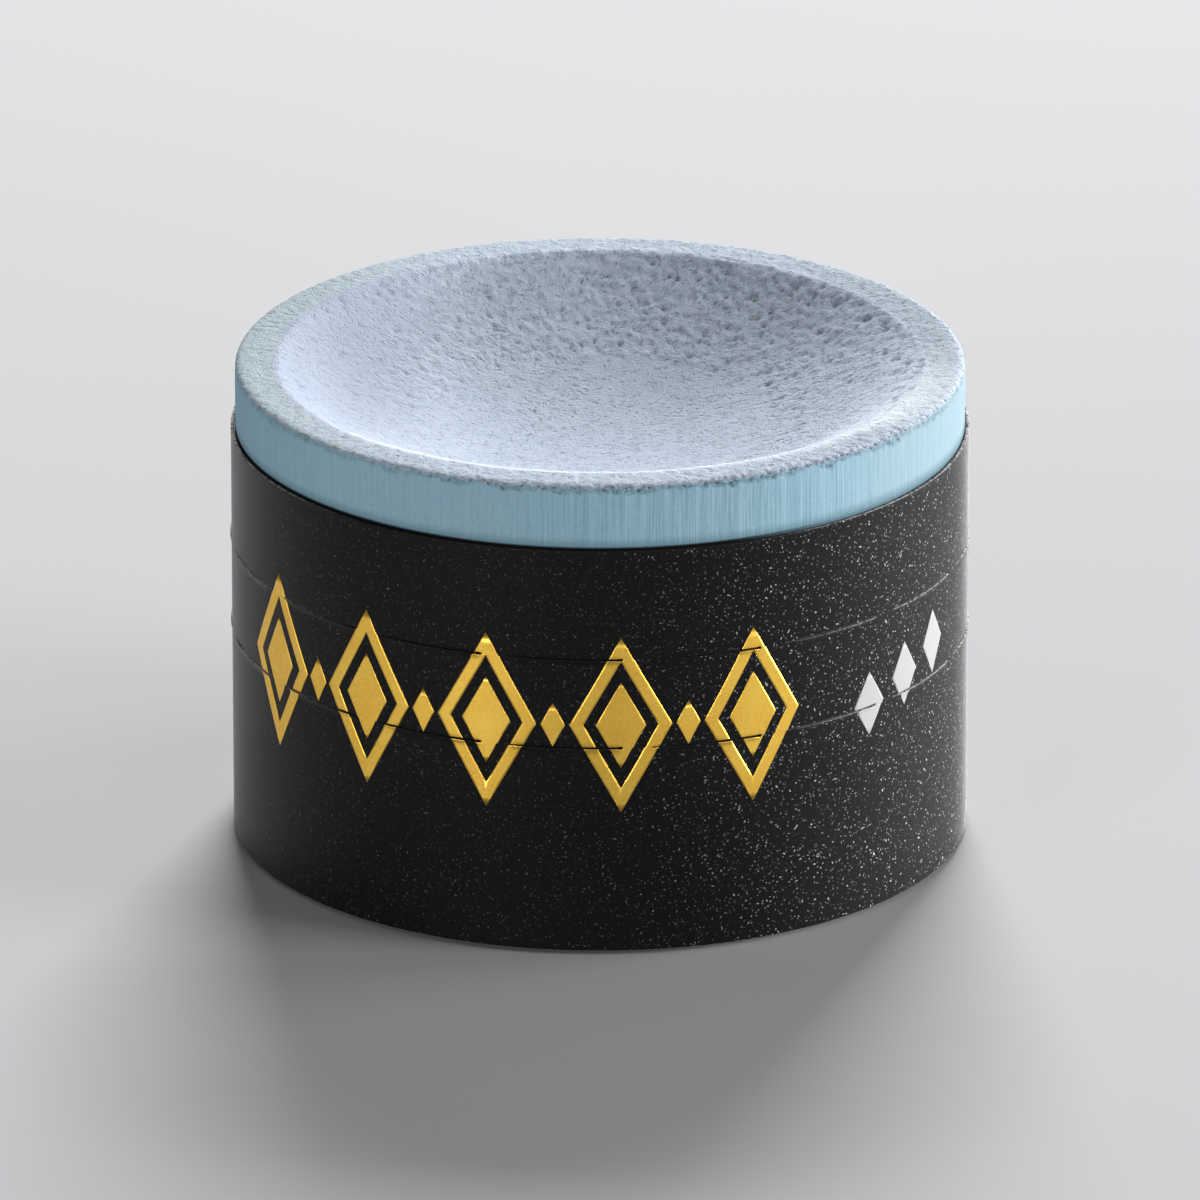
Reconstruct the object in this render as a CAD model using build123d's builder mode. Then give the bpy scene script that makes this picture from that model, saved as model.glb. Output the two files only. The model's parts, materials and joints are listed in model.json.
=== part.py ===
from build123d import *
import math
import os

# Round cue chalk in a tear-off film sleeve, standing on its foot.
#
# Frame: millimetres, Z up, origin at the middle of the foot. The front of the
# sleeve looks along -Y, and angles in plan are counted from +X towards +Y.
#
# Two pieces: a pressed block of chalk with a shallow bowl in its top, and the
# film glued round it, which has two rows of tear cuts and closes with a lap.

# ---- block of chalk
block_diameter = 25.0
block_height = 16.9
foot_chamfer = 0.3        # breaks the pressed edge round the foot
rim_edge_radius = 0.2     # wear on the outer edge of the rim
rim_width = 1.3           # level ring between that edge and the lip of the bowl
lip_radius = 0.5          # rounds the rim over into the bowl
bowl_depth = 3.1

# ---- film sleeve
film_thickness = 0.11
glue_gap = 0.05           # between the block and the film
sleeve_height = 14.45
foot_reveal = 0.15        # the film stops this far above the foot

# ---- tear cuts
tear_rows = 2
first_row_drop = 3.9      # from the top of the film to the first row
row_pitch = 3.18
cut_length = 3.9
tie_length = 0.97         # film left whole between two cuts
cut_width = 0.10

# ---- lap seam, at the back
seam_angle = 95.75        # middle of the lap, in plan
lap_width = 1.5           # double thickness of film
lap_ramp = 0.4            # where the film comes down off the end beneath it
lap_clearance = 0.2       # from the lap to the nearest tear cut

os.makedirs("parts", exist_ok=True)


def plan_point(radius, angle):
    """The point at this radius and plan angle."""
    return Vector(radius, 0, 0).rotate(Axis.Z, angle)


# ---- chalk: a turned profile, drawn to the right of the axis
#
# The lip is an arc that leaves the rim level, and the bowl is an arc centred on
# the axis. They are tangent, so their two radii add up to the distance between
# their centres, which the lip's place and the bowl's depth settle.
block_radius = block_diameter / 2
lip_start = block_radius - rim_width
radii_sum = (lip_start**2 + bowl_depth**2) / (2 * bowl_depth)
bowl_radius = radii_sum - lip_radius
bowl_slope = math.degrees(math.asin(lip_start / radii_sum))

with BuildPart() as chalk:
    with BuildSketch(Plane.XZ) as section:
        with BuildLine():
            bowl = CenterArc(
                (0, block_height - bowl_depth + bowl_radius), bowl_radius, 270, bowl_slope
            )
            lip = CenterArc((lip_start, block_height - lip_radius), lip_radius, 90, bowl_slope)
            Polyline(
                lip @ 0,
                (block_radius, block_height),
                (block_radius, 0),
                (0, 0),
                bowl @ 0,
            )
        make_face()
    revolve(axis=Axis.Z)
    round_edges = chalk.edges().filter_by(GeomType.CIRCLE)
    outer_edges = round_edges.filter_by(lambda edge: edge.radius > lip_start + rim_width / 2)
    fillet(outer_edges.sort_by(Axis.Z)[-1], radius=rim_edge_radius)
    foot_edge = chalk.faces().sort_by(Axis.Z)[0].edges()
    chamfer(foot_edge, length=foot_chamfer)

# ---- wrapper: the strip's plan is a ring with one thickened stretch, the lap
film_inside = block_radius + glue_gap
film_outside = film_inside + film_thickness
lap_outside = film_outside + film_thickness
sleeve_top = foot_reveal + sleeve_height
degrees_per_mm = 180 / (math.pi * film_outside)
lap_begin = seam_angle - (lap_width + lap_ramp) / 2 * degrees_per_mm
lap_end = lap_begin + lap_width * degrees_per_mm
lap_middle = (lap_begin + lap_end) / 2
ramp_end = lap_end + lap_ramp * degrees_per_mm

# As many cuts as fit between the two sides of the lap, evenly spaced, with a
# tie opposite the seam.
cut_pitch = cut_length + tie_length
film_round = 2 * math.pi * film_outside
room_for_cuts = film_round - lap_width - lap_ramp - 2 * lap_clearance
cuts_per_row = math.floor((room_for_cuts + tie_length) / cut_pitch)
row_span = (cuts_per_row - 1) * cut_pitch * degrees_per_mm
first_cut_middle = seam_angle + 180 - row_span / 2
row_heights = [sleeve_top - first_row_drop - row * row_pitch for row in range(tear_rows)]

# one cut in plan, from the face of the chalk to clear of the film
half_cut = cut_length / 2 * degrees_per_mm
with BuildSketch() as cut_shape:
    with BuildLine():
        outer_side = CenterArc((0, 0), lap_outside, -half_cut, 2 * half_cut)
        inner_side = CenterArc((0, 0), block_radius, -half_cut, 2 * half_cut)
        Line(inner_side @ 0, outer_side @ 0)
        Line(inner_side @ 1, outer_side @ 1)
    make_face()

with BuildPart() as wrapper:
    with BuildSketch(Plane.XY.offset(foot_reveal)) as strip:
        Circle(film_outside)
        with BuildLine():
            over = ThreePointArc(
                plan_point(lap_outside, lap_begin),
                plan_point(lap_outside, lap_middle),
                plan_point(lap_outside, lap_end),
            )
            Polyline(
                over @ 1,
                plan_point(film_outside, ramp_end),
                plan_point(film_inside, lap_middle),
                plan_point(film_inside, lap_begin),
                over @ 0,
            )
        make_face()
        Circle(film_inside, mode=Mode.SUBTRACT)
    extrude(amount=sleeve_height)
    for row_height in row_heights:
        with BuildSketch(Plane.XY.offset(row_height - cut_width / 2)) as row_of_cuts:
            with PolarLocations(0, cuts_per_row, first_cut_middle, row_span, endpoint=True):
                add(cut_shape.sketch)
        extrude(amount=cut_width, mode=Mode.SUBTRACT)

chalk.part.label = "chalk"
wrapper.part.label = "wrapper"
export_step(chalk.part, "parts/chalk.step")
export_step(wrapper.part, "parts/wrapper.step")
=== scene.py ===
# %% [markdown]
# # A round cue chalk in its tear-off sleeve
#
# A block of pressed blue chalk stands in a printed black film. The block comes
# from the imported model, and this lesson dresses it: first the worn chalk, then
# the film with its tear cuts, then the ink on the film, and last the light.
#
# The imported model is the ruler. It is loaded first, nothing in it is moved, and
# every new piece takes its place from the boxes of the model's own nodes.

import json
import math

import bmesh
import bpy
import numpy as np
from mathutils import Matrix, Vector

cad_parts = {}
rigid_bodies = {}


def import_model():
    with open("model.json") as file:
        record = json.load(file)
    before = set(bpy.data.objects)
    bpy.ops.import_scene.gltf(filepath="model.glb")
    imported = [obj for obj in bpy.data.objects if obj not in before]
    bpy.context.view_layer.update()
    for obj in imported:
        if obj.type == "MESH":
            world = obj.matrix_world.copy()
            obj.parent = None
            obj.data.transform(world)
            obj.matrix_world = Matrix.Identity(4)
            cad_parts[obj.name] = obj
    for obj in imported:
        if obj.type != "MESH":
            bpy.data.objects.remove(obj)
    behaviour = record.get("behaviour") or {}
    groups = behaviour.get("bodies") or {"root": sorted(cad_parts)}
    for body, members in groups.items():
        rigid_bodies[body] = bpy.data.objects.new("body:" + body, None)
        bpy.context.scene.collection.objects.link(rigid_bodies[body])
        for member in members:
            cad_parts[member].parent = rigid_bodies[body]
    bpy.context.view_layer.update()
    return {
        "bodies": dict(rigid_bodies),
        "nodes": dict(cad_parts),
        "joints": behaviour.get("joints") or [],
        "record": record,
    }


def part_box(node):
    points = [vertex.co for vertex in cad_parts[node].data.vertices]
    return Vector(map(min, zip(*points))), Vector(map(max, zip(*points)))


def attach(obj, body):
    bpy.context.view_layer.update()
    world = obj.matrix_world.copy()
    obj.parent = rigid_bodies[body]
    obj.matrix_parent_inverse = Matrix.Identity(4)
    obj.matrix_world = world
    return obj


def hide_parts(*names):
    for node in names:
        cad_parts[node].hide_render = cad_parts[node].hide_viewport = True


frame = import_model()
print("nodes in the frame:", sorted(frame["nodes"]))

# %% [markdown]
# ## Sizes
#
# Work is in millimetres and is turned into metres when a mesh is made. The outer
# sizes are read from the model. The rest are the same named sizes that its source
# has, because only the finished solids come through the frame.
#
# Places on the film are given by their bearing: degrees round the axis from the
# front, positive to the right. The front looks along -Y.

# %% Sizes of the block and the film
MM = 0.001
_, chalk_high = [np.array(corner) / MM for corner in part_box("chalk")]
film_low, film_high = [np.array(corner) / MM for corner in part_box("wrapper")]

block_radius = chalk_high[0]
block_height = chalk_high[2]
foot_chamfer = 0.3
rim_edge_radius = 0.2
rim_width = 1.3
lip_radius = 0.5
bowl_depth = 3.1

film_thickness = 0.11
glue_gap = 0.05
film_inside = block_radius + glue_gap
film_outside = film_inside + film_thickness
sleeve_foot, sleeve_top = film_low[2], film_high[2]

cuts_per_row = 16
cut_length = 3.9
tie_length = 0.97
cut_width = 0.10
first_row_drop = 3.9
row_pitch = 3.18
cut_rows = [sleeve_top - first_row_drop - row_pitch, sleeve_top - first_row_drop]

lap_width = 1.5
lap_ramp = 0.4
seam_bearing = 185.75

degrees_per_mm = 180 / (math.pi * film_outside)
print(f"block {2 * block_radius:.2f} x {block_height:.2f} mm")
print(f"film from {sleeve_foot:.2f} to {sleeve_top:.2f} mm")

# %% [markdown]
# ## Noise that is the same at every run
#
# Chalk is a crumbly solid, so its surface needs unevenness at several sizes. A
# bitmap could give it, and so could Blender's Displace modifier, but a few lines
# of numpy give full control and the same result each time: numbers are hashed
# from the corners of a lattice in space, and blended between the corners.

# %% Lattice noise
LOW_BITS = 0xFFFFFFFF
ODD_NUMBERS = (374761393, 668265263, 2246822519, 3266489917)


def hashed(ix, iy, iz, seed):
    """A number from 0 to 1 for each lattice point: its three whole coordinates and
    the seed are multiplied by large odd numbers, added, and their bits are mixed."""
    mix = sum(n * odd for n, odd in zip((ix, iy, iz, seed), ODD_NUMBERS)) & LOW_BITS
    mix = ((mix ^ (mix >> 15)) * ODD_NUMBERS[2]) & LOW_BITS
    mix = ((mix ^ (mix >> 13)) * ODD_NUMBERS[3]) & LOW_BITS
    return ((mix ^ (mix >> 16)) & LOW_BITS) / LOW_BITS


def blotches(points, cell, seed):
    """Smooth noise from -1 to 1: the hashed values at the eight corners of each
    point's lattice cell, blended with the ease curve 3t^2 - 2t^3."""
    place = points / cell
    corner = np.floor(place).astype(np.int64)
    t = place - corner
    t = t * t * (3 - 2 * t)
    total = 0
    for dx in (0, 1):
        for dy in (0, 1):
            for dz in (0, 1):
                share = (
                    (t[..., 0] if dx else 1 - t[..., 0])
                    * (t[..., 1] if dy else 1 - t[..., 1])
                    * (t[..., 2] if dz else 1 - t[..., 2])
                )
                total = total + share * hashed(
                    corner[..., 0] + dx, corner[..., 1] + dy, corner[..., 2] + dz, seed
                )
    return 2 * total - 1


sample = blotches(np.random.default_rng(3).uniform(-10, 10, (4000, 3)), 0.4, 1)
print(f"noise runs from {sample.min():.2f} to {sample.max():.2f}")

# %% Pits and curves


def pits(points, cell, reach, seed, share=0.8):
    """Round dents from 0 to 1: a share of the lattice cells hold one dent centre at
    a hashed place, and a dent is (1 - (distance / its reach)^2)^2 inside its reach.
    Reach and depth vary from half of the full one to all of it, and where dents
    overlap the deepest counts."""
    place = points / cell
    corner = np.floor(place).astype(np.int64)
    deepest = np.zeros(points.shape[:-1])
    for dx in (-1, 0, 1):
        for dy in (-1, 0, 1):
            for dz in (-1, 0, 1):
                cx, cy, cz = corner[..., 0] + dx, corner[..., 1] + dy, corner[..., 2] + dz
                centre = np.stack(
                    [c + hashed(cx, cy, cz, seed + k) for k, c in enumerate((cx, cy, cz))], -1
                )
                pick = hashed(cx, cy, cz, seed + 7)
                size = reach * (0.5 + 0.5 * hashed(cx, cy, cz, seed + 11))
                gap = np.linalg.norm(place - centre, axis=-1) * cell
                dent = np.clip(1 - (gap / size) ** 2, 0, 1) ** 2 * (pick < share)
                deepest = np.maximum(deepest, dent * (0.5 + 0.5 * pick / share))
    return deepest


def ease(low, high, value):
    """0 below low, 1 above high, and the curve 3t^2 - 2t^3 between them. With low
    above high it falls instead of rising."""
    t = np.clip((value - low) / (high - low), 0, 1)
    return t * t * (3 - 2 * t)


def bell(value, middle, width):
    """exp(-((value - middle) / width)^2): 1 at the middle, near 0 past two widths."""
    return np.exp(-(((value - middle) / width) ** 2))


print("ease at a quarter:", ease(0, 1, 0.25), "bell at one width:", round(bell(1, 0, 1), 3))

# %% [markdown]
# ## From arrays to meshes
#
# Both pieces are round, so a shape is an array of points, and one function puts
# the array into a mesh. The chalk is a stack of rings that can double or halve
# their number of points, which keeps the points about evenly spaced from the
# middle of the bowl out to the rim. The film and the ink are thin shells: an outer
# and an inner grid, with some cells left out, and walls where a cell is missing.

# %% Mesh helpers


def finish_mesh(name, points_mm, faces):
    """Makes the object: points in millimetres become metres, faces index them, and
    points that no face uses are dropped first. The numbers of the points that stay
    come back with it."""
    used, flat = np.unique(np.concatenate([f.ravel() for f in faces]), return_inverse=True)
    groups, start = [], 0
    for f in faces:
        groups.append(flat[start : start + f.size].reshape(f.shape))
        start += f.size
    mesh = bpy.data.meshes.new(name)
    mesh.from_pydata(
        (points_mm[used] * MM).tolist(), [], [row for g in groups for row in g.tolist()]
    )
    mesh.shade_smooth()
    piece = bpy.data.objects.new(name, mesh)
    bpy.context.scene.collection.objects.link(piece)
    triangles = sum(len(g) * (g.shape[1] - 2) for g in groups)
    print(f"{name}: {len(used)} points, {triangles} triangles")
    return piece, used


def store(piece, name, values):
    """Keeps one number for each point, for the finish to read."""
    data = piece.data.attributes.new(name, "FLOAT", "POINT")
    data.data.foreach_set("value", np.asarray(values, np.float32))


def on_round(bearing, radius, height):
    """Points at these bearings in degrees, distances from the axis and heights:
    x = radius sin(bearing), y = -radius cos(bearing)."""
    turn = np.radians(bearing)
    x, y = radius * np.sin(turn), -radius * np.cos(turn)
    return np.stack(np.broadcast_arrays(x, y, height), -1)


# %% [markdown]
# ## The block: its turned outline
#
# The real block is pressed, and then its bowl is worn by cue tips. Turned round
# the axis, it is one outline: up the bowl's arc, over a narrow lip, across the
# level rim, round its worn corner, down the side, and in under the foot. A Screw
# modifier or a Spin would turn such an outline with the same number of steps at
# every height. Rings worked out here can be fine where the light rakes over the
# worn rim and coarse where the film hides the side.

# %% Outline of the block
lip_start = block_radius - rim_width
radii_sum = (lip_start**2 + bowl_depth**2) / (2 * bowl_depth)
bowl_radius = radii_sum - lip_radius
bowl_slope = math.asin(lip_start / radii_sum)


def arc(centre, radius, start, end, step):
    """Points on a circle from one angle to another, about a step apart, without
    the last one."""
    count = max(2, round(abs(end - start) * radius / step))
    angle = np.linspace(start, end, count, endpoint=False)
    x, z = centre[0] + radius * np.cos(angle), centre[1] + radius * np.sin(angle)
    return np.stack([x, z], -1)


def run(start, end, step):
    """Points on a straight line, about a step apart, without the last one."""
    count = max(1, round(math.dist(start, end) / step))
    t = np.linspace(0, 1, count, endpoint=False)[:, None]
    return np.array(start) * (1 - t) + np.array(end) * t


down, up = -math.pi / 2, math.pi / 2
bowl_centre = (0, block_height - bowl_depth + bowl_radius)
lip_centre = (lip_start, block_height - lip_radius)
corner_centre = (block_radius - rim_edge_radius, block_height - rim_edge_radius)
crumbled_to = block_height - 0.6
hidden_from = sleeve_top - 0.5
outline = np.concatenate(
    [
        arc(bowl_centre, bowl_radius, down, down + bowl_slope, step=0.105),
        arc(lip_centre, lip_radius, up + bowl_slope, up, step=0.075),
        run((lip_start, block_height), (corner_centre[0], block_height), step=0.085),
        arc(corner_centre, rim_edge_radius, up, 0, step=0.05),
        run((block_radius, corner_centre[1]), (block_radius, crumbled_to), step=0.06),
        run((block_radius, crumbled_to), (block_radius, hidden_from), step=0.13),
        run((block_radius, hidden_from), (block_radius, foot_chamfer), step=3.0),
        run((block_radius, foot_chamfer), (block_radius - foot_chamfer, 0), step=0.5),
        run((block_radius - foot_chamfer, 0), (0, 0), step=3.2),
        [(0, 0)],
    ]
)
print(f"bowl radius {bowl_radius:.1f} mm, {math.degrees(bowl_slope):.1f} degrees at the lip")
print(f"{len(outline)} rings")

# %% Rings: how many points each one has
most_points = 1344
hidden_points = most_points // 16
widest_gap = 0.11
most_halvings = 5


def points_in_ring(radius, height):
    """The finest rings lie on the rim and its corner. The rest have half as many
    points, and halve them again for as long as the gaps stay under the widest one.
    Where nothing shows there are few."""
    in_bowl = radius < lip_start and height > block_height - bowl_depth - 0.1
    if not (in_bowl or height > hidden_from):
        return hidden_points
    if radius > lip_start + 0.15 and height > crumbled_to:
        return most_points
    halvings = 1
    while halvings < most_halvings:
        if 2 * math.pi * radius / (most_points / 2 ** (halvings + 1)) >= widest_gap:
            break
        halvings += 1
    return most_points // 2**halvings


counts = [points_in_ring(r, z) for r, z in outline]
for k in range(1, len(counts)):  # one halving at a time
    counts[k] = max(counts[k], counts[k - 1] // 2)
for k in range(len(counts) - 2, -1, -1):
    counts[k] = max(counts[k], counts[k + 1] // 2)
print("points in the rings:", sorted(set(counts)))

# %% [markdown]
# ## The block: wear
#
# Under raking light five kinds of unevenness show. The bowl and the rim have a
# fine grain, with small dents between the grains. The outer corner of the rim has
# crumbled, most of all in front, so its edge is ragged. The lip is rubbed down at
# the back, and torn just below at the right. Cue tips have polished it in front.
# And the bowl is not quite true, with shallow swellings a few millimetres wide.
#
# A Displace modifier could push the surface with one texture. Here each kind is a
# field of its own over the points, in millimetres along the outline's normal, and
# masks say where it acts. Nearly all of it goes inwards, so the block keeps its
# size.

# %% Where each point lies
tangent = np.gradient(outline, axis=0)
tangent /= np.linalg.norm(tangent, axis=1, keepdims=True)
normal = np.stack([-tangent[:, 1], tangent[:, 0]], -1)

ring_of = np.repeat(np.arange(len(outline)), counts)
bearing = np.concatenate([np.arange(n) * 360 / n for n in counts])
radius_of, height_of = outline[ring_of].T
base = on_round(bearing, radius_of, height_of)

across, forward = np.sin(np.radians(bearing)), np.cos(np.radians(bearing))
to_right, to_back = radius_of * across, -radius_of * forward
drop = block_height - height_of
inset = block_radius - radius_of
past_lip = radius_of - lip_start

faces_up = ease(0.35, 0.8, normal[ring_of, 1]) * (height_of > block_height / 2)
in_bowl = ease(lip_start + 0.2, lip_start - 0.4, radius_of)
shows = ease(sleeve_top, sleeve_top + 0.1, height_of)
print(f"{len(base)} points, {np.mean(faces_up > 0.5):.0%} of them on the top")

# %% Masks of the wear
# how strong the grain is: weaker on the rim and the bowl's left wall, stronger on
# its back wall
rim_grip = 0.52 + 0.20 * ease(0.4, 0.95, forward) + 0.25 * ease(0.2, 0.8, across)
grip = rim_grip + (1 - rim_grip) * in_bowl - 0.6 * ease(2, 9, -to_right) * in_bowl
grip += 0.30 * ease(2, 9, to_back) * in_bowl * ease(-6, 2, to_right)

# the polished lip, also painted pale as a highlight: a thin line in front that grows
# broad towards the right
softer = ease(0.15, 0.75, across)
outer_reach = 0.22 + 1.2 * ease(0.75, 0.98, across)
reach = 0.13 + softer * np.where(past_lip + 0.10 < 0, 1.8, outer_reach)
polish_and_highlight = (1 - 0.10 * softer) * bell(past_lip, -0.10, reach) * faces_up
polish_and_highlight *= ease(-0.3, 0.4, forward) * ease(-0.95, -0.65, across)

# the rubbed lip, the torn band below it, and the left wall of the bowl, which is
# painted a darker lilac, partly tint and partly shade
back_right = bell(bearing, 105, 38)
back_left = bell(bearing, 275, 30)
at_lip = bell(past_lip, 0, 0.8) * faces_up
rubbed = (back_right + 0.6 * back_left) * at_lip
below_lip = bell(past_lip, -0.5, 0.6) * faces_up
left_wall_tint_and_shade = ease(5, 9, -to_right) * ease(lip_start + 0.15, lip_start - 0.1, radius_of)
print(f"polished {np.mean(polish_and_highlight > 0.5):.1%}, smooth {np.mean(left_wall_tint_and_shade > 0.5):.1%}")

# %% Relief of the block


def lumps(height, size, seed, place=base):
    """Noise of this height, with lumps of this size, both in millimetres."""
    return height * blotches(place, size, seed)


dent_depth = 0.030 + 0.040 * in_bowl
pore_depth, torn_depth, rubbed_depth = 0.065, 0.16, 0.14

swell = lumps(0.020, 3.1, seed=1) + lumps(0.007, 1.1, seed=2)
grain = lumps(0.007, 0.36, seed=3) + lumps(0.038, 0.17, seed=4)
dents = pits(base, 0.44, 0.23, seed=5)
pores = pits(base, 0.25, 0.13, seed=61, share=0.6)
torn = pits(base, 0.48, 0.33, seed=21) * back_right * below_lip

rough = grain - dent_depth * dents - pore_depth * pores
relief = faces_up * (swell + grip * (1 - 0.6 * polish_and_highlight) * rough)
relief -= torn_depth * torn + rubbed_depth * rubbed
print(f"relief of the top from {relief.min():.3f} to {relief.max():.3f} mm")

# %% The crumbled corner
crumbled_down, softness = 0.23, 0.06
crumb_depth, chip_depth = 0.03, 0.15

upright = base * [1, 1, 0]  # noise at these places is the same all the way down
ragged = crumbled_down + lumps(0.12, 0.7, 33, upright) + lumps(0.10, 0.25, 34, upright)
band = ease(0.35, 0.1, inset) * ease(ragged + softness, ragged - softness, drop)
facing = (bearing + 180) % 360 - 180  # bearing from -180 to 180
front_half = 0.25 + 0.75 * ease(-0.5, 0.5, forward)
crumbled = band * front_half * (0.45 + 0.55 * bell(facing, 12, 42))
chips = pits(base, 0.18, 0.14, seed=41, share=0.9)
relief -= crumbled * (crumb_depth + chip_depth * chips)
relief *= shows
# painted shade in the chips of the crumbled edge, kept with the dents' shade
chipped_edge_shade = crumbled * ease(0.5, 0.15, inset) * ease(0.0, 0.07, drop) * (0.50 + chips)

shift = normal[ring_of] * relief[:, None]
points = base + on_round(bearing, shift[:, 0], shift[:, 1])
print(f"relief from {relief.min():.3f} to {relief.max():.3f} mm")

# %% Stitch the rings


def stitch(counts):
    """Faces between neighbouring rings. Equal rings are joined by squares, and a
    ring to one of twice its points by three triangles to each of its gaps."""
    starts = np.concatenate([[0], np.cumsum(counts)])
    squares, triangles = [], []
    for k, (n, m) in enumerate(zip(counts, counts[1:])):
        a, b = starts[k], starts[k + 1]
        if n == m:
            j = np.arange(n)
            after = (j + 1) % n
            squares.append(np.stack([a + j, b + j, b + after, a + after], -1))
            continue
        j = np.arange(min(n, m))
        after = (j + 1) % len(j)
        two, mid, last = 2 * j, 2 * j + 1, 2 * after
        if m > n:
            one, other = (a + j, b + two, b + mid), (a + after, b + mid, b + last)
            between = (a + j, b + mid, a + after)
        else:
            one, other = (a + two, b + j, a + mid), (a + mid, b + after, a + last)
            between = (a + mid, b + j, b + after)
        triangles += [np.stack(t, -1) for t in (one, between, other)]
    return np.concatenate(squares), np.concatenate(triangles)


squares, triangles = stitch(counts)
chalk_block, used = finish_mesh("chalk_block", points, [squares, triangles])
store(chalk_block, "worn", faces_up[used])
store(chalk_block, "grip", grip[used])
store(chalk_block, "bowl", (faces_up * in_bowl)[used])
store(chalk_block, "left_wall_tint_and_shade", (faces_up * left_wall_tint_and_shade)[used])
store(chalk_block, "polish_and_highlight", polish_and_highlight[used])
# painted shade: darker in the dents, the torn pits and the chips of the edge
store(chalk_block, "dent", np.clip(faces_up * (0.5 * dents + torn) + chipped_edge_shade, 0, 1)[used])

# %% [markdown]
# The rings at the middle of the bowl and of the foot have no size, so each is
# several points in one place. Merging them closes the skin.

# %% Close the poles


def merge_doubles(piece):
    """Points that lie in one place become one, and the faces between them go."""
    net = bmesh.new()
    net.from_mesh(piece.data)
    bmesh.ops.remove_doubles(net, verts=net.verts[:], dist=1e-8)
    open_edges = sum(not edge.is_manifold for edge in net.edges)
    net.to_mesh(piece.data)
    net.free()
    print(f"{piece.name}: {open_edges} open edges")


merge_doubles(chalk_block)

# %% [markdown]
# ## Finishes as expressions
#
# A finish is a set of nodes. Wiring them one by one hides the sum that they do, so
# one small class wraps a node's output: arithmetic on it adds Math nodes, and one
# method adds any other node. Every pattern reads Object coordinates in metres, or
# a number kept on the mesh, so it stays where it is in any view.

# %% Shader expressions


class Field:
    """A value that changes over a surface: one output of a shader node."""

    def __init__(self, tree, output=None):
        self.tree, self.output = tree, output

    def make(self, kind, settings=None, sockets=None, out=0):
        """Adds a node: its settings first, then its sockets, each with a value or a
        Field to link. The Field that comes back is the output called out."""
        node = self.tree.nodes.new("ShaderNode" + kind)
        for name, value in (settings or {}).items():
            setattr(node, name, value)
        for key, value in (sockets or {}).items():
            if isinstance(value, Field):
                self.tree.links.new(value.output, node.inputs[key])
            else:
                node.inputs[key].default_value = value
        return Field(self.tree, node.outputs[out])

    def also(self, out):
        """Another output of the same node."""
        return Field(self.tree, self.output.node.outputs[out])

    def math(self, operation, *values):
        """A Math node on these values, of which this Field is usually one."""
        return self.make("Math", {"operation": operation}, dict(enumerate(values)))

    def __add__(self, other):
        return self.math("ADD", self, other)

    def __radd__(self, other):
        return self.math("ADD", other, self)

    def __sub__(self, other):
        return self.math("SUBTRACT", self, other)

    def __rsub__(self, other):
        return self.math("SUBTRACT", other, self)

    def __mul__(self, other):
        return self.math("MULTIPLY", self, other)

    def __rmul__(self, other):
        return self.math("MULTIPLY", other, self)

    def __pow__(self, other):
        return self.math("POWER", self, other)

    def ease(self, low, high):
        """0 below low, 1 above high, smooth between them."""
        return self.make(
            "MapRange", {"interpolation_type": "SMOOTHSTEP"}, {0: self, 1: low, 2: high}
        )

    def noise(self, size_mm, detail=2.0, roughness=0.5, out=0):
        """Blender's noise over this place, with lumps about this size."""
        sockets = {"Vector": self, "Scale": 1 / (size_mm * MM)}
        sockets.update({"Detail": detail, "Roughness": roughness})
        return self.make("TexNoise", {"noise_dimensions": "3D"}, sockets, out)

    def stretched(self, x, y, z):
        """This place, with each axis multiplied by a number."""
        return self.make("Mapping", None, {"Vector": self, "Scale": (x, y, z)})

    def axis(self, name):
        """One coordinate of this place."""
        return self.make("SeparateXYZ", None, {0: self}, name)

    def between(self, first, second):
        """A colour between two, by this share of the second."""
        pair = [c if isinstance(c, Field) else (*c, 1) for c in (first, second)]
        return self.make("Mix", {"data_type": "RGBA"}, {0: self, 6: pair[0], 7: pair[1]}, 2)

    def bumped(self):
        """A normal tilted by this height, in millimetres."""
        return self.make("Bump", None, {"Height": self * MM, "Distance": 1.0, "Strength": 1.0})

    def into(self, socket):
        """Links this to a socket of the finish's own shader."""
        self.tree.links.new(self.output, socket)


def screen(red, green, blue):
    """A colour given as it looks on a screen, 0 to 255, in the shader's own scale."""
    parts = [v / 255 for v in (red, green, blue)]
    return tuple(v / 12.92 if v <= 0.04045 else ((v + 0.055) / 1.055) ** 2.4 for v in parts)


def new_finish(name):
    """A material, its place on the surface as a Field, and its shader's sockets."""
    material = bpy.data.materials.new(name)
    material.use_nodes = True
    place = Field(material.node_tree).make("TexCoord", out="Object")
    return material, place, material.node_tree.nodes["Principled BSDF"].inputs


def kept(field, name):
    """A number stored on the mesh."""
    return field.make("Attribute", {"attribute_name": name}, out="Fac")


print("brightness of a mid grey, 128, is", round(screen(128, 128, 128)[0], 3))

# %% [markdown]
# ## Finish of the chalk: the pressed side
#
# Chalk is powder held by a little glue, so it is matt, with almost no gloss. Its
# pressed side keeps the strong blue of the powder, with a fine speckle and upright
# scratches from the die it was pushed out of. They are deepest on the right, where
# the side is also painted paler and greyer, as a highlight. A painted texture would
# have to be unwrapped.
# Noise over the place, with its Z made fifty times smaller, gives upright streaks
# without that.

# %% Pressed side
pressed_chalk, place, shader = new_finish("pressed_chalk")
worn, dent = kept(place, "worn"), kept(place, "dent")
grip, polish_and_highlight = kept(place, "grip"), kept(place, "polish_and_highlight")
right, backwards, level = [place.axis(name) for name in "XYZ"]

side_deep, side_light = screen(118, 152, 167), screen(156, 188, 203)
side_highlight = screen(156, 173, 181)

streak_share, speckle_share = 2.2, 0.7

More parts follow.
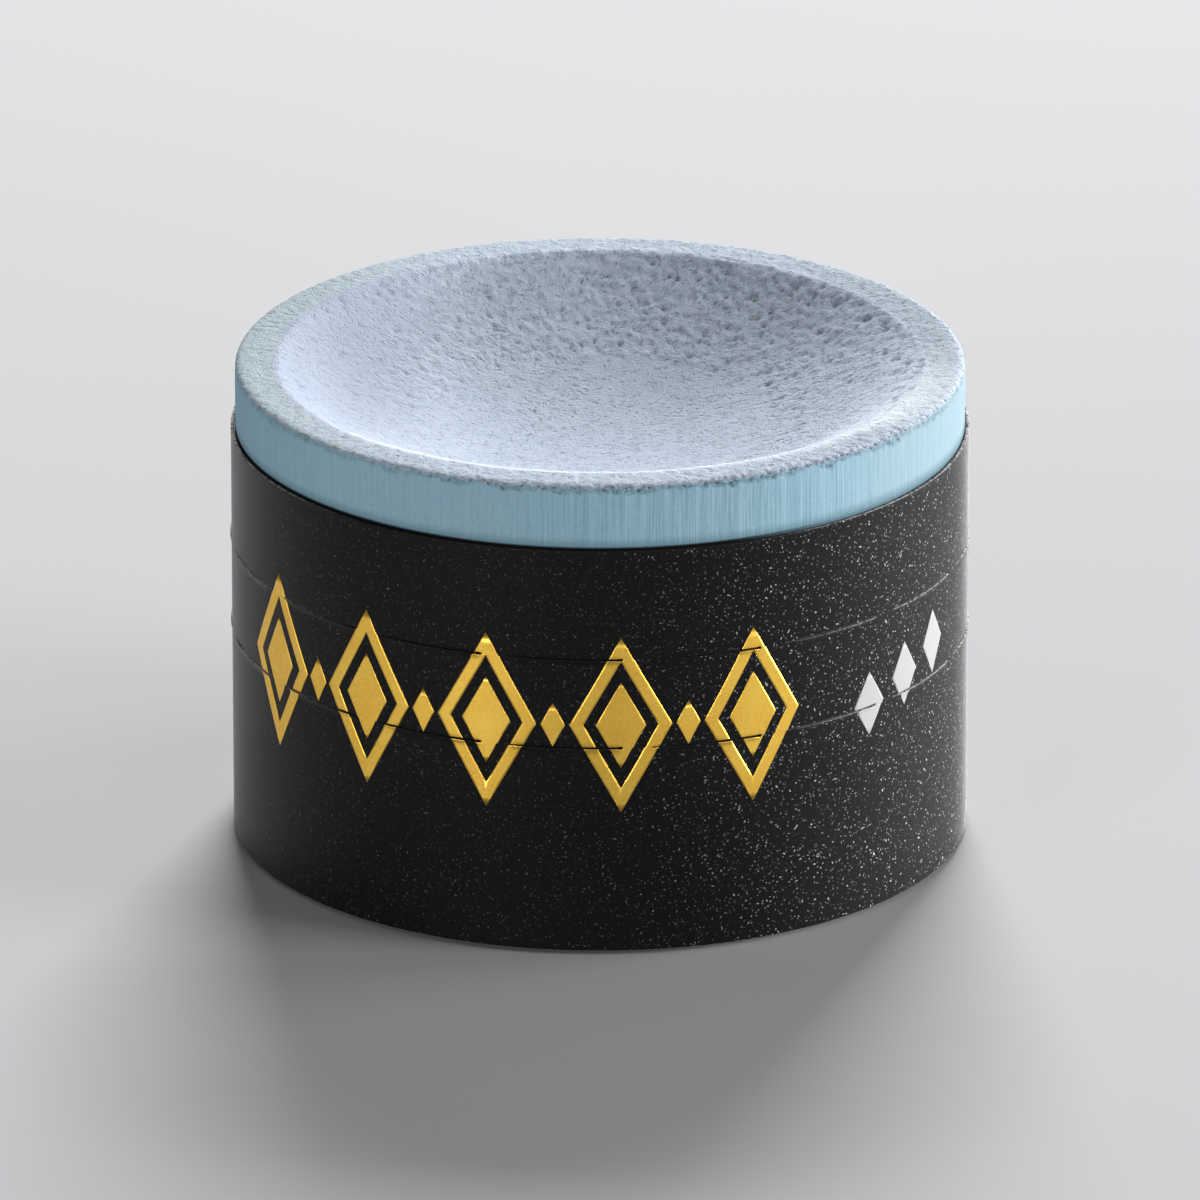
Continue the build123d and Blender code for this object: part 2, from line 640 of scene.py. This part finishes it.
scraped = right.ease(-6 * MM, 3 * MM) * 0.75 + 0.25
streaks = place.stretched(1, 1, 0.02).noise(0.075, 2.0, 0.7) - 0.5
speckle = place.noise(0.11, 3.0, 0.7) - 0.5
lightness = streaks * scraped * streak_share + speckle * speckle_share + 0.45
blue = lightness.between(side_deep, side_light)
# painted highlight: the far right of the side is painted paler and greyer
side = (right.ease(7 * MM, 12.4 * MM) * 0.65).between(blue, side_highlight)
print("nodes for the side:", len(pressed_chalk.node_tree.nodes))

# %% [markdown]
# ## Finish of the chalk: the worn top
#
# The worn top is paler, a mix of two blues in soft clouds with faint teal and
# lilac grains. The rim is greyer, most of all at the back and the left. The bowl's
# left wall is painted a darker lilac, partly its own tint and partly shade, and its
# back right wall is painted darker as shade. The lip is painted palest, as a
# highlight.

# %% Worn top
top_blue, top_pale = screen(184, 198, 216), screen(203, 214, 230)
teal, lilac = screen(168, 191, 197), screen(188, 184, 203)
rim_grey, lilac_shade = screen(148, 162, 166), screen(152, 161, 177)
lip_highlight = screen(216, 228, 236)

clouds = place.noise(0.5, 4.0, 0.6).ease(0.3, 0.7).between(top_blue, top_pale)
tinted = place.noise(0.19, 1.0).ease(0.40, 0.60).between(teal, lilac)
on_rim = worn - kept(place, "bowl")
to_the_left = 1 - right.ease(-12 * MM, -5 * MM)
greyed = on_rim * (backwards.ease(-12 * MM, 0) * 0.22 + to_the_left * 0.35 + 0.22)
top = greyed.between((worn * 0.3).between(clouds, tinted), rim_grey)

# painted shade: the bowl's back right wall and, partly, its left wall go lilac grey
back_right = backwards.ease(1 * MM, 8 * MM) * right.ease(-2 * MM, 8 * MM)
lilac_shade_share = kept(place, "left_wall_tint_and_shade") * 0.8 + kept(place, "bowl") * back_right * 0.5
skin = worn.between(side, lilac_shade_share.between(top, lilac_shade))
# painted highlight: the lip is painted palest
highlit_skin = (polish_and_highlight * 0.85).between(skin, lip_highlight)
print("nodes with the top:", len(pressed_chalk.node_tree.nodes))

# %% [markdown]
# ## Finish of the chalk: painted shade near the film and in the dents
#
# Close above the film the side is painted a deeper blue, as shade. In the gap and
# behind the film the block is painted almost black, as shade, because hardly any
# light gets in there. The dents, the hollows of the grain and the chips of the
# broken edge are painted darker, as shade in them.

# %% Painted shade
film_shade, no_light = screen(70, 104, 116), screen(13, 15, 17)
dent_shade_grey, edge_shade_teal = screen(86, 100, 120), screen(64, 84, 95)


def above_film(low, high):
    """0 below the low height over the film's top, 1 above the high one, in mm."""
    return level.ease((sleeve_top + low) * MM, (sleeve_top + high) * MM)


# painted shade: deeper blue close above the film, and almost black in the gap and behind it
near_film = (1 - above_film(0.05, 0.50)) * 0.55
shaded = (near_film * (1 - worn)).between(highlit_skin, film_shade)
in_gap = (1 - above_film(0.05, 0.14)) * (1 - right.ease(4 * MM, 9 * MM) * 0.8)
behind_film = 1 - above_film(-0.06, -0.01)
unlit = in_gap.math("MAXIMUM", in_gap, behind_film) * (1 - worn)
whole = unlit.between(shaded, no_light)

rough = worn * grip * (1 - polish_and_highlight * 0.6)
hollow = place.noise(0.20, 2.0, 0.6).ease(0.54, 0.70) * rough
broken = place.noise(0.085, 2.0, 0.6).ease(0.40, 0.56) * 0.75 + 0.25
# painted shade: the dents, the chips of the edge and the hollows of the grain go darker
dark = worn.between(edge_shade_teal, dent_shade_grey)
(dent * broken + hollow * 0.27).between(whole, dark).into(shader["Base Color"])
print("nodes with the dark places:", len(pressed_chalk.node_tree.nodes))

# %% Grit
grit_height, hollow_depth, scratch_height = 0.100, 0.045, 0.012

grit = place.noise(0.13, 4.0, 0.75) * rough * grit_height
scratches = streaks * scraped * (1 - worn) * scratch_height
(grit - hollow * hollow_depth + scratches).bumped().into(shader["Normal"])
shader["Roughness"].default_value = 0.95
shader["Diffuse Roughness"].default_value = 0.0
shader["Specular IOR Level"].default_value = 0.15

chalk_block.data.materials.append(pressed_chalk)
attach(chalk_block, "root")
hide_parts("chalk")
print("chalk finish has", len(pressed_chalk.node_tree.nodes), "nodes")

# %% [markdown]
# ## The film: its plan
#
# The film is one strip of plastic, about a tenth of a millimetre thick, glued
# round the block. Its ends overlap at the back in a lap, which is twice as thick.
# It could be a cylinder with Solidify, but the tear cuts need columns of points
# exactly at their ends, so the columns are laid out from the cuts: many across
# each cut, where the lips curve, a few across each tie, and the rest over the lap.

# %% Columns of the film
cut_span = cut_length * degrees_per_mm
cut_pitch = (cut_length + tie_length) * degrees_per_mm
middle_tie = seam_bearing - 180
cut_middles = middle_tie + (np.arange(cuts_per_row) - (cuts_per_row - 1) / 2) * cut_pitch

lap_begin = seam_bearing - (lap_width + lap_ramp) / 2 * degrees_per_mm
lap_end = lap_begin + lap_width * degrees_per_mm
ramp_end = lap_end + lap_ramp * degrees_per_mm
lap_step = 0.012 * degrees_per_mm  # the film's outer end rises over this much

columns_in_cut, columns_in_tie, columns_in_lap = 26, 7, 9
columns = [[ramp_end - 360]]
for middle in cut_middles:
    left, right = middle - cut_span / 2, middle + cut_span / 2
    tie_end = min(left + cut_pitch, lap_begin)
    columns += [np.linspace(left, right, columns_in_cut, endpoint=False)]
    columns += [np.linspace(right, tie_end, columns_in_tie, endpoint=False)]
columns += [[lap_begin], np.linspace(lap_begin + lap_step, lap_end, columns_in_lap)]
columns = np.concatenate(columns)
print(f"{len(columns)} columns, from {columns[0]:.1f} to {columns[-1]:.1f} degrees")

# %% [markdown]
# ## The film: its cuts
#
# A blade pressed through the film leaves each cut's lower lip standing out a
# little and its upper lip pressed in, so a cut reads as a dark line with a bright
# one under it where light rakes across. Each cut is thin at its left end and ends
# in a small nick at its right end. The film's surface is one function of bearing
# and height, so that the ink can follow it later.

# %% Surface of the film
nick_place = 0.975  # as a share of a cut's length
lip_out, lip_in = 0.042, 0.012
warp_reach = 0.3


def along_cut(bearing):
    """How far along its cut a bearing lies: 0 at the left end, 1 at the right end,
    and outside that range between cuts."""
    nearest = np.abs(np.asarray(bearing)[..., None] - cut_middles).argmin(-1)
    return (bearing - cut_middles[nearest]) / cut_span + 0.5


def half_gap(share):
    """Half of a cut's opening, in mm: thin at the left, widest in the right nick."""
    slit = 0.014 + 0.008 * ease(0, 0.3, share)
    return slit + 0.026 * bell(share, nick_place, 0.02)


def warped(bearing, height):
    """Heights near a row of cuts, moved so that the grid's edges beside the cut lie
    on its real lips. The move fades to nothing a third of a millimetre away."""
    moved = height.copy()
    for row in cut_rows:
        gap = height - row
        near = np.clip(1 - (np.abs(gap) - cut_width / 2) / warp_reach, 0, 1)
        moved += np.sign(gap) * near * (half_gap(along_cut(bearing)) - cut_width / 2)
    return moved


def film_radius(bearing, height):
    """Distance of the film's face from the axis: the plain cylinder, plus the lap,
    plus the lips of the cuts, which are bell curves about each cut's edges and
    fade at its ends."""
    lap = film_thickness * ((bearing >= lap_begin + lap_step / 2) & (bearing <= lap_end))
    share = along_cut(bearing)
    fade = ease(-0.01, 0.12, share) * ease(-0.01, 0.08, 1 - share)
    radius = film_outside + lap
    for row in cut_rows:
        gap = height - row
        lower = bell(gap, -cut_width / 2, 0.075) * (gap < 0)
        upper = bell(gap, cut_width / 2, 0.06) * (gap > 0)
        radius = radius + fade * (lip_out * lower - lip_in * upper)
    return radius


print("cut opening along its length:", np.round(2 * half_gap(np.linspace(0, 1, 5)), 3), "mm")

# %% [markdown]
# ## The film: its skin
#
# The rows of the grid are close together beside the cuts and at the film's own
# edges, and half a millimetre apart elsewhere. The cells inside the cuts are left
# out, and every gap gets walls round it, so the film has its real thickness
# wherever it is cut.

# %% Rows of the film
beside = np.array([0.05, 0.08, 0.115, 0.155, 0.21, 0.28, 0.38])
close_rows = np.concatenate([row + side * beside for row in cut_rows for side in (-1, 1)])


def rows_between(low, high, step, extra=()):
    """Row heights from low to high: the rows beside the cuts, any extra ones, and
    plain rows about a step apart where neither is near."""
    special = np.concatenate([close_rows, [low, high], extra])
    special = special[(special >= low) & (special <= high)]
    plain = np.linspace(low, high, round((high - low) / step) + 1)
    plain = plain[np.abs(plain[:, None] - special).min(1) > step * 0.4]
    plain = plain[np.abs(plain[:, None] - np.array(cut_rows)).min(1) > beside[-1]]
    return np.unique(np.round(np.concatenate([special, plain]), 5))


# the film's own edges are rounded off over this height, and this far in
bevel, bevel_depth = 0.012, 0.02
rim_rows = [sleeve_foot + bevel, sleeve_foot + 0.05, sleeve_top - 0.05, sleeve_top - bevel]
film_rows = rows_between(sleeve_foot, sleeve_top, 0.5, rim_rows)
print(f"{len(film_rows)} rows")

# %% Shell with gaps


def shell(outer, inner, solid, closed=False):
    """Points, faces and walls of a thin shell. Outer and inner are grids of points,
    rows upwards and columns to the right, and solid says which cells exist. Each
    existing cell gives an outer and an inner square, and a wall on every side where
    its neighbour is missing. With closed, the last column joins the first."""
    height, width = outer.shape[:2]
    number = np.arange(height * width).reshape(height, width)
    framed = np.pad(solid, 1)
    if closed:
        number = np.concatenate([number, number[:, :1]], 1)
        framed[1:-1, 0], framed[1:-1, -1] = solid[:, -1], solid[:, 0]
    a, b, c, d = number[:-1, :-1], number[:-1, 1:], number[1:, 1:], number[1:, :-1]
    under, over = framed[:-2, 1:-1], framed[2:, 1:-1]
    left, right = framed[1:-1, :-2], framed[1:-1, 2:]
    back = height * width
    walls = []
    for neighbour, p, q in ((under, a, b), (right, b, c), (over, c, d), (left, d, a)):
        edge = solid & ~neighbour
        walls.append(np.stack([p[edge], p[edge] + back, q[edge] + back, q[edge]], -1))
    faces = np.stack([a[solid], b[solid], c[solid], d[solid]], -1)
    points = np.concatenate([outer.reshape(-1, 3), inner.reshape(-1, 3)])
    return points, np.concatenate([faces, faces[:, ::-1] + back]), np.concatenate(walls)


def cells_outside_cuts(rows, bearing_of_cell):
    """True for the cells of a grid that don't lie inside a cut."""
    level = (rows[1:] + rows[:-1]) / 2
    in_row = np.abs(level[:, None] - np.array(cut_rows)).min(1) < cut_width / 2
    share = along_cut(bearing_of_cell)
    return ~(in_row[:, None] & (share > 0) & (share < 1))


# %% Skin of the film
bearing, level = np.meshgrid(columns, film_rows)
face = film_radius(bearing, level) - bevel_depth * np.isin(level, film_rows[[0, -1]])
height = warped(bearing, level)
middles = np.append(columns[1:] + columns[:-1], columns[-1] + columns[0] + 360) / 2
points, faces, walls = shell(
    on_round(bearing, face, height),
    on_round(bearing, film_inside, height),
    cells_outside_cuts(film_rows, middles[None, :]),
    closed=True,
)
sleeve_film, _ = finish_mesh("sleeve_film", points, [faces, walls])
on_bevel = points[faces].mean(1)[:, 2] > sleeve_top - bevel
bare_plastic = np.concatenate([on_bevel, np.ones(len(walls), bool)])
sleeve_film.data.polygons.foreach_set("material_index", bare_plastic.astype(np.int32))
print(f"{bare_plastic.sum()} faces of bare plastic")

# %% [markdown]
# ## Finish of the film
#
# The film is printed in a deep satin black that is sprinkled with fine pale
# flecks, about thirty-five to the square millimetre. Their brightness is painted to
# grow from faint on the left to bright on the right, as a highlight. A picture of
# flecks would need a seamless texture.
# Cells in space do it without one: each cell of a Voronoi pattern holds one fleck,
# a random number decides how bright it is, and a little noise on the place draws
# some of them out.

# %% Film finish
printed_film, place, shader = new_finish("printed_film")
film_black, fleck_grey = screen(9, 9, 10), screen(228, 229, 233)
fleck_cell, fleck_drift = 0.128, 0.22

wander = place.noise(0.22, 0.0, 0.5, out="Color")
centred = wander.make("VectorMath", {"operation": "SUBTRACT"}, {0: wander, 1: (0.5, 0.5, 0.5)})
drift = {0: centred, 1: (fleck_drift * MM,) * 3, 2: place}
drawn = place.make("VectorMath", {"operation": "MULTIPLY_ADD"}, drift)
cells = {"Vector": drawn, "Scale": 1 / (fleck_cell * MM)}
cell = drawn.make("TexVoronoi", {"feature": "F1"}, cells, "Distance")
chance = cell.make("SeparateColor", None, {0: cell.also("Color")}, 0)
fleck = (1 - cell.ease(0.12, 0.30)) * (chance**2 * 0.85 + 0.12)

# painted highlight: the flecks are painted brighter towards the right
fleck_highlight = place.axis("X").ease(-1 * MM, 12.5 * MM) * 0.92 + 0.12
(fleck * fleck_highlight).between(film_black, fleck_grey).into(shader["Base Color"])
(place.noise(0.9, 2.0) * 0.08 + 0.45).into(shader["Roughness"])
(place.noise(0.10, 2.0) * 0.0012).bumped().into(shader["Normal"])
shader["Specular IOR Level"].default_value = 0.12
shader["Sheen Weight"].default_value = 0.6
shader["Sheen Roughness"].default_value = 0.32
print("film finish has", len(printed_film.node_tree.nodes), "nodes")

# %% [markdown]
# ## Finish of the film's cut edges
#
# Where the film is cut its bare dark plastic shows, without the print's sheen. At
# the two sides the edge is painted pale, in a grainy way, as a highlight where light
# catches it. A second material on the edge faces keeps the two apart better than a
# mask would.

# %% Cut edges
film_edge, place, shader = new_finish("film_edge")
edge_dark, edge_highlight = screen(38, 34, 33), screen(192, 186, 184)
# painted highlight: the edge is painted pale towards the two sides
sideways = place.axis("X") + 1.5 * MM
edge_highlight_share = sideways.math("ABSOLUTE", sideways).ease(6.5 * MM, 11.5 * MM)
grainy = edge_highlight_share * place.noise(0.12, 2.0).ease(0.25, 0.65)
grainy.between(edge_dark, edge_highlight).into(shader["Base Color"])
shader["Roughness"].default_value = 0.9
shader["Specular IOR Level"].default_value = 0.1

sleeve_film.data.materials.append(printed_film)
sleeve_film.data.materials.append(film_edge)
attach(sleeve_film, "root")
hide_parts("wrapper")
print("edge finish has", len(film_edge.node_tree.nodes), "nodes")

# %% [markdown]
# ## The ink
#
# The ink is a raised skin of gold and of white on the black film. It is a row of
# lozenges, like the sights along the rail of a billiard table. Ink could be drawn
# by the film's own finish, but as thin pieces its edges stay sharp at any
# distance. Each lozenge is a grid that shares the film's rows beside the cuts, and
# whose columns squeeze together towards the tips. It is laid on the film's own
# surface, so the tear cuts go through the ink as well.

# %% Lozenges
ink_thickness = 0.012
ink_lift = 0.001
limb_columns, core_columns = 7, 25


def lozenge(middle, level, half_width, half_height, frame=0.0, gap=0.0):
    """One lozenge on the film, as points, faces and walls. At each height its half
    width is half_width (1 - |height from the middle| / half_height). A frame of
    this width lies inside its edge, and past a gap the core is solid. Without a
    frame the whole of it is solid. Each row has limb, core and limb columns."""
    slant = math.hypot(1, half_width / half_height)
    tips = [half_height * (1 - s * slant / half_width) for s in (frame, frame + gap) if s]
    extra = [level] + [level + side * tip for tip in tips for side in (-1, 1)]
    rows = rows_between(level - half_height, level + half_height, 0.3, extra)
    outside = half_width * np.clip(1 - np.abs(rows - level) / half_height, 0, 1)
    inside = np.clip(outside - frame * slant, 0, None) if frame else 0 * outside
    core = np.clip(inside - gap * slant, 0, None)
    inside, core = [np.where(w < 1e-4, 0, w) for w in (inside, core)]

    limb = outside[:, None] + (inside - outside)[:, None] * np.linspace(0, 1, limb_columns)
    core_part = core[:, None] * np.linspace(-1, 1, core_columns)
    across = np.concatenate([-limb, core_part, limb[:, ::-1]], 1)
    bearing = middle + across * degrees_per_mm
    level_of = np.repeat(rows[:, None], across.shape[1], 1)
    radius, height = film_radius(bearing, level_of), warped(bearing, level_of)

    cell_bearing = (bearing[1:, 1:] + bearing[:-1, :-1]) / 2
    solid = cells_outside_cuts(rows, cell_bearing)
    if frame:
        first, last = limb_columns - 1, limb_columns + core_columns - 1  # the gap's cells
        hollow = np.maximum(inside[1:], inside[:-1]) > 0
        solid[:, [first, last]] &= ~hollow[:, None]
        coreless = hollow & (np.maximum(core[1:], core[:-1]) == 0)
        solid[:, first + 1 : last] &= ~coreless[:, None]
    outer = on_round(bearing, radius + ink_thickness, height)
    return shell(outer, on_round(bearing, radius + ink_lift, height), solid)


def ink_piece(name, lozenges):
    """Joins lozenges into one piece and merges the points at their tips."""
    points, faces, start = [], [], 0
    for grid, *groups in lozenges:
        points.append(grid)
        faces += [group + start for group in groups]
        start += len(grid)
    piece, _ = finish_mesh(name, np.concatenate(points), faces)
    merge_doubles(piece)
    return piece


# %% The row of gold and the three white ones
gold_middle, gold_pitch, gold_level = -17.7, 20.9, 8.35
white_middle, white_pitch = 54.8, 8.6
white_level, white_rise = 8.2, 0.55

big = [
    lozenge(gold_middle + k * gold_pitch, gold_level, 1.75, 3.15, frame=0.42, gap=0.36)
    for k in range(-2, 3)
]
small = [
    lozenge(gold_middle + (k + 0.5) * gold_pitch, gold_level, 0.42, 0.78)
    for k in range(-2, 2)
]
white = [
    lozenge(white_middle + k * white_pitch, white_level + k * white_rise, 0.72, 1.15)
    for k in (-1, 0, 1)
]
print_gold = ink_piece("print_gold", big + small)
print_white = ink_piece("print_white", white)

# %% [markdown]
# ## Finish of the inks
#
# The gold is a bronze powder in a clear binder: warm, with a soft sheen and a very
# fine grain rather than a mirror. The white is a plain opaque ink.

# %% Ink finishes


def ink_finish(name, shallow, deep, metallic, roughness):
    """An ink: two close colours mixed by a fine grain, and a slight tooth."""
    material, place, shader = new_finish(name)
    grain = place.noise(0.09, 3.0, 0.6)
    cloud = place.noise(1.4, 2.0)
    (grain * 0.6 + cloud * 0.4).ease(0.3, 0.7).between(shallow, deep).into(shader["Base Color"])
    (grain * 0.12 + roughness).into(shader["Roughness"])
    (grain * 0.002).bumped().into(shader["Normal"])
    shader["Metallic"].default_value = metallic
    shader["Specular IOR Level"].default_value = 0.4
    return material


gold_ink = ink_finish("gold_ink", screen(255, 213, 96), screen(240, 190, 73), 1.0, 0.36)
white_ink = ink_finish("white_ink", screen(181, 181, 182), screen(175, 175, 176), 0.0, 0.45)
for piece, ink in ((print_gold, gold_ink), (print_white, white_ink)):
    piece.data.materials.append(ink)
    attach(piece, "root")
    print(ink.name, "has", len(ink.node_tree.nodes), "nodes")

# %% [markdown]
# ## Floor, lights and camera
#
# A product like this is shown on a plain pale sweep. The strongest of the five
# lights stands behind, so it rakes across the bowl: the wall that faces it is
# bright, the other is in shade, and the grain stands out. Two on the right draw
# the edge of the film, and two weak ones in front light the gold.

# %% Floor and world


def sheet_of(name, half, height):
    """A level square, in metres, that isn't part of the object."""
    mesh = bpy.data.meshes.new(name)
    turns = ((-1, -1), (1, -1), (1, 1), (-1, 1))
    mesh.from_pydata([(half * x, half * y, height) for x, y in turns], [], [(0, 1, 2, 3)])
    piece = bpy.data.objects.new(name, mesh)
    bpy.context.scene.collection.objects.link(piece)
    return piece


floor = sheet_of("floor", 3.0, 0.0)
floor_finish, place, shader = new_finish("floor_finish")
floor_grey, floor_pale = screen(186, 186, 188), screen(189, 189, 191)
place.noise(40.0, 2.0).between(floor_grey, floor_pale).into(shader["Base Color"])
shader["Roughness"].default_value = 1.0
shader["Specular IOR Level"].default_value = 0.0
floor.data.materials.append(floor_finish)

world = bpy.data.worlds.new("soft_studio")
bpy.context.scene.world = world
world.use_nodes = True
background = world.node_tree.nodes["Background"].inputs
background["Color"].default_value = (*screen(206, 207, 209), 1)
background["Strength"].default_value = 0.20
print("floor finish has", len(floor_finish.node_tree.nodes), "nodes")

# %% Lights


def soft_light(name, bearing, elevation, width, height, power, distance=0.80):
    """A soft lamp that faces the object, at this bearing and elevation in degrees.
    Its size and distance are in metres, its power in watts."""
    lamp = bpy.data.lights.new(name, "AREA")
    lamp.shape, lamp.size, lamp.size_y, lamp.energy = "RECTANGLE", width, height, power
    rise = math.radians(elevation)
    piece = bpy.data.objects.new(name, lamp)
    place = on_round(bearing, distance * math.cos(rise), distance * math.sin(rise))
    piece.location = place.tolist()
    piece.rotation_euler = Vector(piece.location).to_track_quat("Z", "Y").to_euler()
    piece.visible_camera = False
    bpy.context.scene.collection.objects.link(piece)


soft_light("key", 174, 30, 0.36, 0.36, 12.2)
soft_light("low_side", 106, 4, 0.30, 0.08, 7.4)
soft_light("side", 76, 20, 0.32, 0.32, 3.1)
soft_light("front_left", -34, 8, 0.30, 0.15, 2.1)
soft_light("front_right", 24, 10, 0.30, 0.15, 1.0)
print(len(bpy.data.lights), "lights")

# %% Camera
view_distance = 0.600
view_rise = math.radians(20.84)
aim = Vector((0, 0, 8.06 * MM))
camera = bpy.data.objects.new("camera", bpy.data.cameras.new("camera"))
back = Vector((0, -math.cos(view_rise), math.sin(view_rise)))
camera.location = aim + view_distance * back
camera.rotation_euler = back.to_track_quat("Z", "Y").to_euler()
camera.data.sensor_width = 36
camera.data.lens = 523.1
camera.data.clip_start, camera.data.clip_end = 0.01, 20
bpy.context.scene.collection.objects.link(camera)
bpy.context.scene.camera = camera
bpy.context.scene.view_settings.view_transform = "Standard"
print("camera at", [round(c, 4) for c in camera.location])
